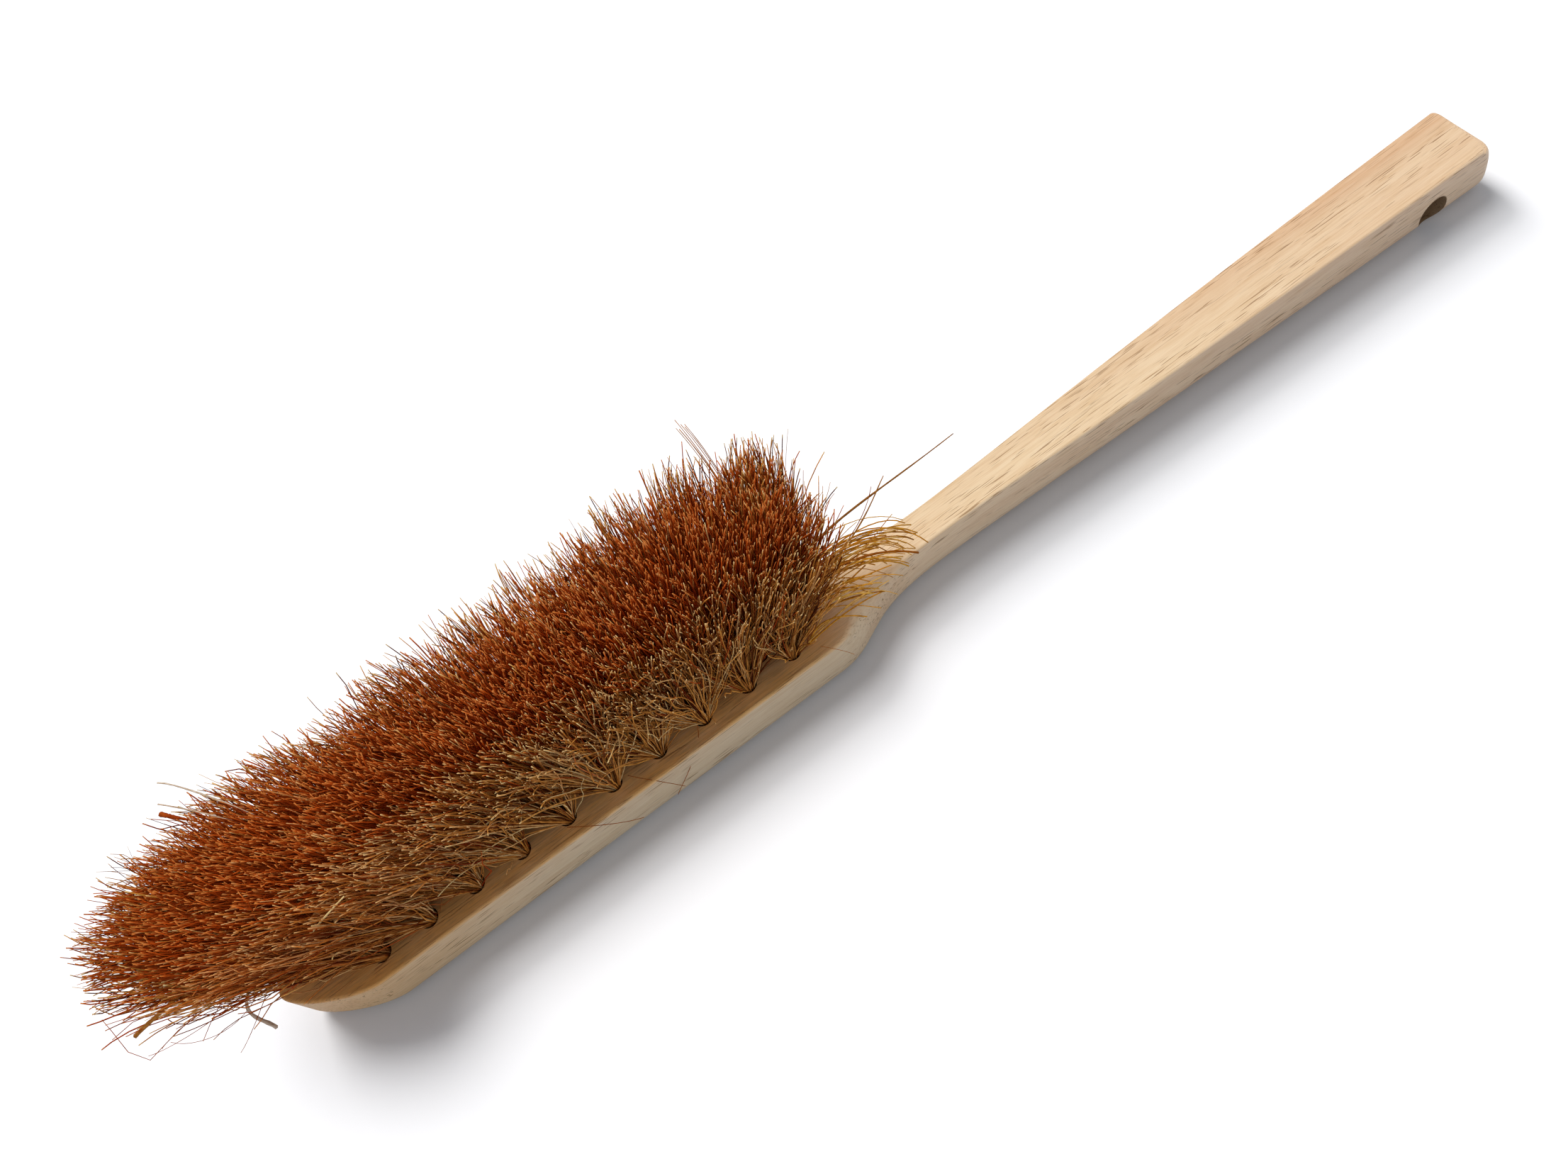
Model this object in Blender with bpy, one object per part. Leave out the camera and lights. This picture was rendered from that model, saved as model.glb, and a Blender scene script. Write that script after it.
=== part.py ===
"""Long-handled hand brush, lying on the back of its stock with its bristles up.

The stock is one piece of pale wood: a tufting block with an arched nose, a drawn-in neck and a
handle that widens towards its end. Four staggered rows of blind holes in the block's face lean
outwards like a fan. Each holds one tuft of coir: a bundle of stiff fibres, folded in half and
pressed in, which opens into a brush of strands above the face.

Units are metres. +X runs from the nose to the handle's end and +Z is up. The origin is on the
stock's flat back, under the middle of the block. Along the stock, lengths are from the nose.
"""
import math
import random

import bmesh
import bpy
import numpy as np
from mathutils import Matrix, Vector
from mathutils.geometry import interpolate_bezier

# Stock, seen from above
BLOCK_LENGTH = 0.200
SHOULDER_LENGTH = 0.050
HANDLE_LENGTH = 0.237
BLOCK_WIDTH = 0.035
NECK_WIDTH = 0.013
HANDLE_END_WIDTH = 0.0254
NOSE_LENGTH = 0.031
NOSE_BLUNTNESS = 0.006
NOSE_CHEEK = 0.010
SHOULDER_CORNER_PULL = 0.017
SHOULDER_NECK_PULL = 0.034
NECK_STRAIGHT = 0.030
GRIP_SWELL_AT = 0.070
GRIP_SWELL_WIDTH = 0.0208
HANDLE_SET = 0.0005
NEAR_CORNER_RADIUS = 0.0055
FAR_CORNER_RADIUS = 0.0024

# Stock, in section
THICKNESS = 0.021
BLOCK_BACK_RADIUS = 0.006
HANDLE_BACK_RADIUS = 0.010
END_BACK_RADIUS = 0.0066
END_BACK_LENGTH = 0.200
BACK_ROUND_SHARE = 0.8
NOSE_BACK_ROUND = 0.006
END_BACK_ROUND = 0.0045
NEAR_FACE_ROUND = 0.0057
FAR_FACE_ROUND = 0.0034
END_ROUND_LENGTH = 0.014
FACE_EASE = 0.0010
SHOULDER_EASE = 0.0050
SHOULDER_EASE_FROM = 0.003
SHOULDER_EASE_RISE = 0.012
SHOULDER_EASE_FULL = 0.008
SHOULDER_EASE_FALL = 0.014

# Hanging hole, drilled from side to side
HANG_HOLE_DIAMETER = 0.0118
HANG_HOLE_FROM_END = 0.0273
HANG_HOLE_HEIGHT = 0.0075

# Tuft holes
ROW_COUNT = 4
OUTER_ROW_INSET = 0.0082
TUFT_PITCH = 0.0173
FIRST_TUFT = 0.0167
SHOULDER_MARGIN = 0.0015
EDGE_MARGIN = 0.0035
TUFT_HOLE_DIAMETER = 0.0064
TUFT_HOLE_DEPTH = 0.014

# Fan of the tufts, which use has swept towards the far side, most of all at the nose
NOSE_LEAN = math.radians(33)
NOSE_FAN_LENGTH = 0.095
HEEL_LEAN = math.radians(15)
HEEL_FAN_LENGTH = 0.045
OUTER_ROW_LEAN = math.radians(12)
SWEEP = math.radians(2.5)
NOSE_SWEEP = math.radians(13)
DRILL_SHARE = 0.5

# Tufts
BRISTLE_LENGTH = 0.060
TRIM_VARIATION = 0.03
SEAT_CLEARANCE = 0.0003
BUNDLE_RISE = 0.0016
FOLD_SHARE = 0.6
STRANDS_PER_TUFT = 11
LATTICE_RINGS = 2
TIP_SPREAD = 3.1
STRAND_RADIUS = 0.00075
STRAND_TIP_RADIUS = 0.00050
STRAND_BEND_AT = 0.42
SEED = 7

# Fineness of the curved surfaces
NOSE_STEPS = 11
SHOULDER_STEPS = 15
HANDLE_STEPS = 13
CORNER_STEPS = 5
BACK_STEPS = 6
WALL_STEPS = 4
FACE_STEPS = 3
TUFT_HOLE_SIDES = 14
HANG_HOLE_SIDES = 32

# Sizes that follow from those above
STOCK_LENGTH = BLOCK_LENGTH + SHOULDER_LENGTH + HANDLE_LENGTH
NECK_AT = BLOCK_LENGTH + SHOULDER_LENGTH
ORIGIN_AT = BLOCK_LENGTH / 2
OUTER_ROW_Y = BLOCK_WIDTH / 2 - OUTER_ROW_INSET
BUNDLE_RADIUS = TUFT_HOLE_DIAMETER / 2 - SEAT_CLEARANCE
BUNDLE_DEPTH = TUFT_HOLE_DEPTH - SEAT_CLEARANCE

# Colours
WOOD_COLOUR = (0.80, 0.61, 0.38, 1.0)
COIR_COLOUR = (0.30, 0.09, 0.03, 1.0)
OUTER_COIR_COLOUR = (0.32, 0.17, 0.07, 1.0)


def clear_scene():
    """Remove whatever the file holds."""
    for old in list(bpy.data.objects):
        bpy.data.objects.remove(old, do_unlink=True)


def new_collection(name):
    """Add a collection to the scene."""
    collection = bpy.data.collections.new(name)
    bpy.context.scene.collection.children.link(collection)
    return collection


def new_material(name, colour, roughness):
    """Make a plain non-metal Principled material."""
    material = bpy.data.materials.new(name)
    material.use_nodes = True
    shader = material.node_tree.nodes["Principled BSDF"]
    shader.inputs["Base Color"].default_value = colour
    shader.inputs["Roughness"].default_value = roughness
    shader.inputs["Metallic"].default_value = 0.0
    return material


def new_object(name, bm, collection, material=None):
    """Turn a bmesh into a smooth-shaded object with its sharp edges kept."""
    bmesh.ops.recalc_face_normals(bm, faces=bm.faces)
    mesh = bpy.data.meshes.new(name)
    bm.to_mesh(mesh)
    bm.free()
    mesh.shade_smooth()
    mesh.set_sharp_from_angle(angle=math.radians(35))
    if material:
        mesh.materials.append(material)
    made = bpy.data.objects.new(name, mesh)
    collection.objects.link(made)
    return made


def smooth_step(value, low, high):
    """Rise smoothly from 0 at low to 1 at high."""
    share = min(max((value - low) / (high - low), 0.0), 1.0)
    return share * share * (3.0 - 2.0 * share)


def bezier_points(start, start_handle, end_handle, end, count):
    """Points of one Bezier stretch in the plan, without its first point."""
    corners = [Vector((x, y, 0.0)) for x, y in (start, start_handle, end_handle, end)]
    return [(point.x, point.y) for point in interpolate_bezier(*corners, count + 1)[1:]]


def half_outline(corner_radius):
    """One side of the stock's plan, from the tip of the nose to the straight of the end."""
    block = BLOCK_WIDTH / 2
    neck = NECK_WIDTH / 2
    end = HANDLE_END_WIDTH / 2
    round_from = STOCK_LENGTH - corner_radius
    points = [(0.0, 0.0)]
    points += bezier_points((0.0, 0.0), (0.0, NOSE_BLUNTNESS),
                            (NOSE_LENGTH - NOSE_CHEEK, block), (NOSE_LENGTH, block), NOSE_STEPS)
    points.append((BLOCK_LENGTH, block))
    points += bezier_points((BLOCK_LENGTH, block), (BLOCK_LENGTH + SHOULDER_CORNER_PULL, block),
                            (NECK_AT - SHOULDER_NECK_PULL, neck), (NECK_AT, neck), SHOULDER_STEPS)
    points += bezier_points((NECK_AT, neck), (NECK_AT + NECK_STRAIGHT, neck),
                            (NECK_AT + GRIP_SWELL_AT, GRIP_SWELL_WIDTH / 2),
                            (round_from, end), HANDLE_STEPS)
    for step in range(1, CORNER_STEPS + 1):
        angle = math.pi / 2 * step / CORNER_STEPS
        points.append((round_from + corner_radius * math.sin(angle),
                       end - corner_radius * (1 - math.cos(angle))))
    return points


FAR_OUTLINE = half_outline(FAR_CORNER_RADIUS)
NEAR_OUTLINE = half_outline(NEAR_CORNER_RADIUS)


def half_width(along):
    """Half the stock's width at a distance from the nose."""
    stations = [x for x, y in FAR_OUTLINE]
    widths = [y for x, y in FAR_OUTLINE]
    return float(np.interp(along, stations, widths))


def back_radius(along):
    """Height of the rounding along the stock's back, largest on the handle."""
    to_handle = smooth_step(along, BLOCK_LENGTH, NECK_AT)
    to_end = smooth_step(along, STOCK_LENGTH - END_BACK_LENGTH, STOCK_LENGTH)
    return (BLOCK_BACK_RADIUS + (HANDLE_BACK_RADIUS - BLOCK_BACK_RADIUS) * to_handle
            + (END_BACK_RADIUS - HANDLE_BACK_RADIUS) * to_end)


def face_ease(along):
    """Rounding of the face's edge: slight all along, and hollowed out on the shoulder."""
    rise_from = BLOCK_LENGTH + SHOULDER_EASE_FROM
    rise_to = rise_from + SHOULDER_EASE_RISE
    fall_from = rise_to + SHOULDER_EASE_FULL
    fall_to = fall_from + SHOULDER_EASE_FALL
    share = smooth_step(along, rise_from, rise_to) * (1 - smooth_step(along, fall_from, fall_to))
    return FACE_EASE + (SHOULDER_EASE - FACE_EASE) * share


def end_face_round(y):
    """How far the end is drawn in towards the face, most on the near side."""
    near_share = 0.5 - y / HANDLE_END_WIDTH
    return FAR_FACE_ROUND + (NEAR_FACE_ROUND - FAR_FACE_ROUND) * near_share


def drawn_in(point, share, across, nose_by, end_by):
    """A point of the plan moved inwards: across by a share, and lengthwise at nose and end.

    The handle's middle line also bears a little to the far side.
    """
    x, y = point
    at_nose = max(0.0, 1 - x / NOSE_LENGTH)
    at_end = max(0.0, 1 - (STOCK_LENGTH - x) / END_ROUND_LENGTH)
    inward = share * min(across, BACK_ROUND_SHARE * abs(y))
    aside = HANDLE_SET * smooth_step(x, NECK_AT, STOCK_LENGTH)
    return x + nose_by * at_nose - end_by * at_end, y - math.copysign(inward, y) + aside


def stock_rings():
    """Closed rings of points up the stock's wall, from its flat back to its flat face.

    The wall is upright all round, except that the handle's end bulges between face and back.
    """
    loop = FAR_OUTLINE + [(x, -y) for x, y in reversed(NEAR_OUTLINE) if y > 0]
    rings = []
    for step in range(BACK_STEPS + 1):
        angle = math.pi / 2 * step / BACK_STEPS
        share = 1 - math.sin(angle)
        ring = []
        for point in loop:
            radius = back_radius(point[0])
            x, y = drawn_in(point, share, radius, share * NOSE_BACK_ROUND, share * END_BACK_ROUND)
            ring.append(Vector((x - ORIGIN_AT, y, radius * (1 - math.cos(angle)))))
        rings.append(ring)
    for step in range(1, WALL_STEPS + 1):
        angle = math.pi / 2 * step / WALL_STEPS
        ring = []
        for point in loop:
            low = back_radius(point[0])
            high = THICKNESS - face_ease(point[0])
            bulge = (1 - math.cos(angle)) * end_face_round(point[1])
            x, y = drawn_in(point, 0.0, 0.0, 0.0, bulge)
            ring.append(Vector((x - ORIGIN_AT, y, low + (high - low) * math.sin(angle))))
        rings.append(ring)
    for step in range(1, FACE_STEPS + 1):
        angle = math.pi / 2 * step / FACE_STEPS
        share = 1 - math.cos(angle)
        ring = []
        for point in loop:
            ease = face_ease(point[0])
            end_by = end_face_round(point[1]) + share * ease
            x, y = drawn_in(point, share, ease, share * ease, end_by)
            ring.append(Vector((x - ORIGIN_AT, y, THICKNESS - ease * (1 - math.sin(angle)))))
        rings.append(ring)
    return rings


def tuft_places():
    """Distance from the nose and place across of each tuft, with its row and number."""
    half_pitch = TUFT_PITCH / 2
    span = BLOCK_LENGTH - SHOULDER_MARGIN - FIRST_TUFT
    places = []
    for row in range(ROW_COUNT):
        y = -OUTER_ROW_Y + 2 * OUTER_ROW_Y * row / (ROW_COUNT - 1)
        number = 0
        for station in range(row % 2, int(span / half_pitch) + 1, 2):
            along = FIRST_TUFT + station * half_pitch
            margin = half_width(along) - abs(y) - TUFT_HOLE_DIAMETER / 2
            if margin >= EDGE_MARGIN:
                number += 1
                places.append((row + 1, number, along, y))
    return places


def lean(along, y):
    """Angles of a tuft's fibres along and across the stock."""
    from_nose = max(0.0, 1 - (along - FIRST_TUFT) / NOSE_FAN_LENGTH)
    from_heel = max(0.0, 1 - (BLOCK_LENGTH - along) / HEEL_FAN_LENGTH)
    lengthwise = HEEL_LEAN * from_heel - NOSE_LEAN * from_nose
    sweep = SWEEP * (1 - from_heel) + NOSE_SWEEP * from_nose
    return lengthwise, OUTER_ROW_LEAN * y / OUTER_ROW_Y + sweep


def direction(along, y, share):
    """Unit vector at a share of a tuft's full lean."""
    lengthwise, crosswise = lean(along, y)
    tilt = Vector((math.tan(lengthwise * share), math.tan(crosswise * share), 1.0))
    return tilt.normalized()


def frame_along(axis):
    """Rotation that turns +Z onto an axis."""
    return Vector((0, 0, 1)).rotation_difference(axis).to_matrix()


def add_tuft_hole_cutter(collection):
    """All the blind tuft holes as one set of cylinders."""
    bm = bmesh.new()
    above = TUFT_HOLE_DIAMETER
    length = TUFT_HOLE_DEPTH + above
    for row, number, along, y in tuft_places():
        axis = direction(along, y, DRILL_SHARE)
        centre = Vector((along - ORIGIN_AT, y, THICKNESS)) + axis * (above - length / 2)
        place = Matrix.Translation(centre) @ frame_along(axis).to_4x4()
        bmesh.ops.create_cone(bm, cap_ends=True, segments=TUFT_HOLE_SIDES, matrix=place, depth=length,
                              radius1=TUFT_HOLE_DIAMETER / 2, radius2=TUFT_HOLE_DIAMETER / 2)
    return new_object("tuft_holes", bm, collection)


def add_hang_hole_cutter(collection):
    """The hanging hole, a cylinder across the handle near its end."""
    bm = bmesh.new()
    centre = Vector((STOCK_LENGTH - HANG_HOLE_FROM_END - ORIGIN_AT, 0.0, HANG_HOLE_HEIGHT))
    place = Matrix.Translation(centre) @ Matrix.Rotation(math.pi / 2, 4, "X")
    bmesh.ops.create_cone(bm, cap_ends=True, segments=HANG_HOLE_SIDES, matrix=place,
                          depth=2 * HANDLE_END_WIDTH, radius1=HANG_HOLE_DIAMETER / 2,
                          radius2=HANG_HOLE_DIAMETER / 2)
    return new_object("hanging_hole", bm, collection)


def add_stock(parts, cutters, material):
    """Loft the stock through its rings, then drill it."""
    bm = bmesh.new()
    rings = [[bm.verts.new(point) for point in ring] for ring in stock_rings()]
    count = len(rings[0])
    for lower, upper in zip(rings, rings[1:]):
        for i in range(count):
            j = (i + 1) % count
            bm.faces.new((lower[i], lower[j], upper[j], upper[i]))
    bm.faces.new(rings[0])
    bm.faces.new(rings[-1])
    stock = new_object("stock", bm, parts, material)
    for cutter in (add_tuft_hole_cutter(cutters), add_hang_hole_cutter(cutters)):
        cutter.hide_render = True
        cutter.display_type = "WIRE"
        cut = stock.modifiers.new(cutter.name, "BOOLEAN")
        cut.operation = "DIFFERENCE"
        cut.solver = "EXACT"
        cut.object = cutter
    return stock


def bundle_lattice():
    """Triangular lattice that fills a disc of unit radius.

    Returns its points by lattice coordinates, the cells that strands grow from, and the cells
    left between them.
    """
    side = 1 / LATTICE_RINGS
    steps = range(-LATTICE_RINGS, LATTICE_RINGS + 1)
    points = {}
    for i in steps:
        for j in steps:
            ring = max(abs(i), abs(j), abs(i + j))
            if ring <= LATTICE_RINGS:
                flat = Vector((i + j / 2, j * math.sqrt(3) / 2)) * side
                points[i, j] = flat.normalized() * ring * side if ring else flat
    growing = []
    between = []
    for i, j in points:
        upright = ((i, j), (i + 1, j), (i, j + 1))
        inverted = ((i, j), (i, j + 1), (i - 1, j + 1))
        if all(key in points for key in upright):
            growing.append(upright)
        if all(key in points for key in inverted):
            between.append(inverted)
    return points, growing, between


def add_tuft(name, along, y, chance, parts, material):
    """One tuft: a round bundle in its hole, opening into strands that bend outwards.

    The bundle and its strands are one branching body, so its faces are built directly.
    """
    root = Vector((along - ORIGIN_AT, y, THICKNESS))
    drilled = direction(along, y, DRILL_SHARE)
    turn = Matrix.Rotation(chance.uniform(0, math.tau), 2)
    points, growing, between = bundle_lattice()
    points = {key: turn @ point for key, point in points.items()}

    def place(flat, axis, distance):
        """World point beside a spot on an axis from the root."""
        offset = frame_along(axis) @ Vector((flat.x, flat.y, 0.0))
        return root + axis * distance + offset

    bm = bmesh.new()
    mouth = {}
    for key, point in points.items():
        mouth[key] = bm.verts.new(place(point * BUNDLE_RADIUS, drilled, BUNDLE_RISE))
    rim = [key for key in points if max(abs(key[0]), abs(key[1]), abs(sum(key))) == LATTICE_RINGS]
    rim.sort(key=lambda key: math.atan2(points[key].y, points[key].x))
    fold = turn @ Vector((1.0, 0.0))
    foot = []
    for key in rim:
        pinched = fold * points[key].dot(fold)
        flat = pinched + (points[key] - pinched) * FOLD_SHARE
        foot.append(bm.verts.new(place(flat * BUNDLE_RADIUS, drilled, -BUNDLE_DEPTH)))
    for i, key in enumerate(rim):
        following = (i + 1) % len(rim)
        bm.faces.new((foot[i], foot[following], mouth[rim[following]], mouth[key]))
    bm.faces.new(foot)

    bare = set(chance.sample(range(len(growing)), len(growing) - STRANDS_PER_TUFT))
    for cell in between + [growing[i] for i in sorted(bare)]:
        bm.faces.new([mouth[key] for key in cell])
    for index, cell in enumerate(growing):
        if index in bare:
            continue
        middle = sum((points[key] for key in cell), Vector((0.0, 0.0))) / len(cell)
        trim = 1 + chance.uniform(-TRIM_VARIATION, TRIM_VARIATION)
        lower = [mouth[key] for key in cell]
        for reach, radius in ((STRAND_BEND_AT, STRAND_RADIUS), (trim, STRAND_TIP_RADIUS)):
            axis = direction(along, y, DRILL_SHARE + (1 - DRILL_SHARE) * reach)
            spread = 1 + (TIP_SPREAD - 1) * reach ** 0.7
            upper = []
            for key in cell:
                corner = (points[key] - middle).normalized() * radius
                flat = middle * BUNDLE_RADIUS * spread + corner
                upper.append(bm.verts.new(place(flat, axis, BRISTLE_LENGTH * reach)))
            for i in range(3):
                j = (i + 1) % 3
                bm.faces.new((lower[i], lower[j], upper[j], upper[i]))
            lower = upper
        bm.faces.new(lower)
    return new_object(name, bm, parts, material)


def build():
    """Model the whole brush."""
    clear_scene()
    parts = new_collection("hand_brush")
    cutters = new_collection("cutters")
    wood = new_material("pale_wood", WOOD_COLOUR, 0.55)
    coir = new_material("coir", COIR_COLOUR, 0.8)
    outer_coir = new_material("outer_coir", OUTER_COIR_COLOUR, 0.8)
    add_stock(parts, cutters, wood)
    chance = random.Random(SEED)
    for row, number, along, y in tuft_places():
        outermost = row in (1, ROW_COUNT)
        add_tuft(f"tuft_{row}_{number:02d}", along, y, chance, parts,
                 outer_coir if outermost else coir)


build()
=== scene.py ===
"""Looks of the long-handled hand brush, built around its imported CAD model.

Units are metres. +X runs from the nose to the handle's end, +Z is up, and the origin is on the
stock's flat back under the middle of the block. Along the stock, lengths are from the nose.
"""

import math
from typing import NamedTuple

import bmesh
import bpy
import numpy as np
from mathutils import Matrix, Vector
from mathutils.geometry import interpolate_bezier


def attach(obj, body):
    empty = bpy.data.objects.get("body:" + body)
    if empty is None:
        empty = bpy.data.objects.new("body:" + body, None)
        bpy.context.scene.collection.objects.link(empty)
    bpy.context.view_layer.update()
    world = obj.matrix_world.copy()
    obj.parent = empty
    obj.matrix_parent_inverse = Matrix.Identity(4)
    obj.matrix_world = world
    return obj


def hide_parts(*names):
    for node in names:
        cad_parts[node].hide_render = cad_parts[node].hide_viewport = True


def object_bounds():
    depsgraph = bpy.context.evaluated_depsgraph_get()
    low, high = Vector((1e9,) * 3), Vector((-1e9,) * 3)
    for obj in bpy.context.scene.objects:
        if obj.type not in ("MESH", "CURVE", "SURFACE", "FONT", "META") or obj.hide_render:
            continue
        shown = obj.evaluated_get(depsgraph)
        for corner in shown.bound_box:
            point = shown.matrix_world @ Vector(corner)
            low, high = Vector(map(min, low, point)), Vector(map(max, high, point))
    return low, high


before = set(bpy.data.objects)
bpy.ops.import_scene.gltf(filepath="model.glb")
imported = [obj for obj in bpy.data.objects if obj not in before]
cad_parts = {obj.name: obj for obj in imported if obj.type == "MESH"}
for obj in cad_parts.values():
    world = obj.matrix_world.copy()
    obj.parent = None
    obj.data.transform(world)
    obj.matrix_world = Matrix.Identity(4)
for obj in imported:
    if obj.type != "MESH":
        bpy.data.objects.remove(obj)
CAD_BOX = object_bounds()

# Stock: the sizes of the CAD model
BLOCK_LENGTH = 0.200
SHOULDER_LENGTH = 0.050
HANDLE_LENGTH = 0.237
BLOCK_WIDTH = 0.035
NECK_WIDTH = 0.013
HANDLE_END_WIDTH = 0.0254
NOSE_LENGTH = 0.031
NOSE_BLUNTNESS = 0.006
NOSE_CHEEK = 0.010
SHOULDER_CORNER_PULL = 0.017
SHOULDER_NECK_PULL = 0.034
NECK_STRAIGHT = 0.030
GRIP_SWELL_AT = 0.070
GRIP_SWELL_WIDTH = 0.0208
HANDLE_SET = 0.0005
NEAR_CORNER_RADIUS = 0.0055
FAR_CORNER_RADIUS = 0.0024
THICKNESS = 0.021
BLOCK_BACK_RADIUS = 0.006
HANDLE_BACK_RADIUS = 0.010
END_BACK_RADIUS = 0.0066
END_BACK_LENGTH = 0.200
BACK_ROUND_SHARE = 0.8
NOSE_BACK_ROUND = 0.006
END_BACK_ROUND = 0.0045
NEAR_FACE_ROUND = 0.0057
FAR_FACE_ROUND = 0.0034
END_ROUND_LENGTH = 0.014
FACE_EASE = 0.0010
SHOULDER_EASE = 0.0050
SHOULDER_EASE_FROM = 0.003
SHOULDER_EASE_RISE = 0.012
SHOULDER_EASE_FULL = 0.008
SHOULDER_EASE_FALL = 0.014
HANG_HOLE_DIAMETER = 0.0118
HANG_HOLE_FROM_END = 0.0273
HANG_HOLE_HEIGHT = 0.0075
STOCK_LENGTH = BLOCK_LENGTH + SHOULDER_LENGTH + HANDLE_LENGTH
NECK_AT = BLOCK_LENGTH + SHOULDER_LENGTH
ORIGIN_AT = BLOCK_LENGTH / 2

# Tufts: the CAD model's holes and leans
ROW_COUNT = 4
OUTER_ROW_Y = 0.0093
TUFT_PITCH = 0.0173
ROW_STARTS = (0.0340, 0.02535, 0.0167, 0.02535)
FIRST_TUFT = 0.0167
TUFT_HOLE_DIAMETER = 0.0064
TUFT_HOLE_DEPTH = 0.014
NOSE_LEAN = math.radians(33)
NOSE_FAN_LENGTH = 0.095
HEEL_LEAN = math.radians(15)
HEEL_FAN_LENGTH = 0.045
OUTER_ROW_LEAN = math.radians(12)
SWEEP = math.radians(2.5)
NOSE_SWEEP = math.radians(13)
DRILL_SHARE = 0.5
BRISTLE_LENGTH = 0.060
BUNDLE_RADIUS = 0.0029
BUNDLE_DEPTH = 0.0137

# Fineness of the stock's curved surfaces
NOSE_STEPS = 36
SHOULDER_STEPS = 40
HANDLE_STEPS = 44
CORNER_STEPS = 12
BACK_STEPS = 14
WALL_STEPS = 12
FACE_STEPS = 7
TUFT_HOLE_SIDES = 36
HANG_HOLE_SIDES = 96
SHARP_ANGLE = math.radians(35)
LARGE_FACE_WEIGHT = 100

chance = np.random.default_rng(1624)


# Stock

def smooth_step(value, low, high):
    """Rise smoothly from 0 at low to 1 at high."""
    share = min(max((value - low) / (high - low), 0.0), 1.0)
    return share * share * (3.0 - 2.0 * share)


def bezier_points(start, start_handle, end_handle, end, count):
    """Points of one Bezier stretch in the plan, without its first point."""
    corners = [Vector((x, y, 0.0)) for x, y in (start, start_handle, end_handle, end)]
    return [(point.x, point.y) for point in interpolate_bezier(*corners, count + 1)[1:]]


def half_outline(corner_radius):
    """One side of the stock's plan, from the tip of the nose to the straight of the end."""
    block = BLOCK_WIDTH / 2
    neck = NECK_WIDTH / 2
    end = HANDLE_END_WIDTH / 2
    round_from = STOCK_LENGTH - corner_radius
    points = [(0.0, 0.0)]
    points += bezier_points((0.0, 0.0), (0.0, NOSE_BLUNTNESS),
                            (NOSE_LENGTH - NOSE_CHEEK, block), (NOSE_LENGTH, block), NOSE_STEPS)
    points.append((BLOCK_LENGTH, block))
    points += bezier_points((BLOCK_LENGTH, block), (BLOCK_LENGTH + SHOULDER_CORNER_PULL, block),
                            (NECK_AT - SHOULDER_NECK_PULL, neck), (NECK_AT, neck), SHOULDER_STEPS)
    points += bezier_points((NECK_AT, neck), (NECK_AT + NECK_STRAIGHT, neck),
                            (NECK_AT + GRIP_SWELL_AT, GRIP_SWELL_WIDTH / 2),
                            (round_from, end), HANDLE_STEPS)
    for step in range(1, CORNER_STEPS + 1):
        angle = math.pi / 2 * step / CORNER_STEPS
        points.append((round_from + corner_radius * math.sin(angle),
                       end - corner_radius * (1 - math.cos(angle))))
    return points


def back_radius(along):
    """Height of the rounding along the stock's back, largest on the handle."""
    to_handle = smooth_step(along, BLOCK_LENGTH, NECK_AT)
    to_end = smooth_step(along, STOCK_LENGTH - END_BACK_LENGTH, STOCK_LENGTH)
    return (BLOCK_BACK_RADIUS + (HANDLE_BACK_RADIUS - BLOCK_BACK_RADIUS) * to_handle
            + (END_BACK_RADIUS - HANDLE_BACK_RADIUS) * to_end)


def face_ease(along):
    """Rounding of the face's edge: slight all along, and hollowed out on the shoulder."""
    rise_from = BLOCK_LENGTH + SHOULDER_EASE_FROM
    rise_to = rise_from + SHOULDER_EASE_RISE
    fall_from = rise_to + SHOULDER_EASE_FULL
    fall_to = fall_from + SHOULDER_EASE_FALL
    share = smooth_step(along, rise_from, rise_to) * (1 - smooth_step(along, fall_from, fall_to))
    return FACE_EASE + (SHOULDER_EASE - FACE_EASE) * share


def end_face_round(y):
    """How far the end is drawn in towards the face, most on the near side."""
    near_share = 0.5 - y / HANDLE_END_WIDTH
    return FAR_FACE_ROUND + (NEAR_FACE_ROUND - FAR_FACE_ROUND) * near_share


def drawn_in(point, share, across, nose_by, end_by):
    """A point of the plan moved inwards: across by a share, and lengthwise at nose and end.

    The handle's middle line also bears a little to the far side.
    """
    x, y = point
    at_nose = max(0.0, 1 - x / NOSE_LENGTH)
    at_end = max(0.0, 1 - (STOCK_LENGTH - x) / END_ROUND_LENGTH)
    inward = share * min(across, BACK_ROUND_SHARE * abs(y))
    aside = HANDLE_SET * smooth_step(x, NECK_AT, STOCK_LENGTH)
    return x + nose_by * at_nose - end_by * at_end, y - math.copysign(inward, y) + aside


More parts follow.
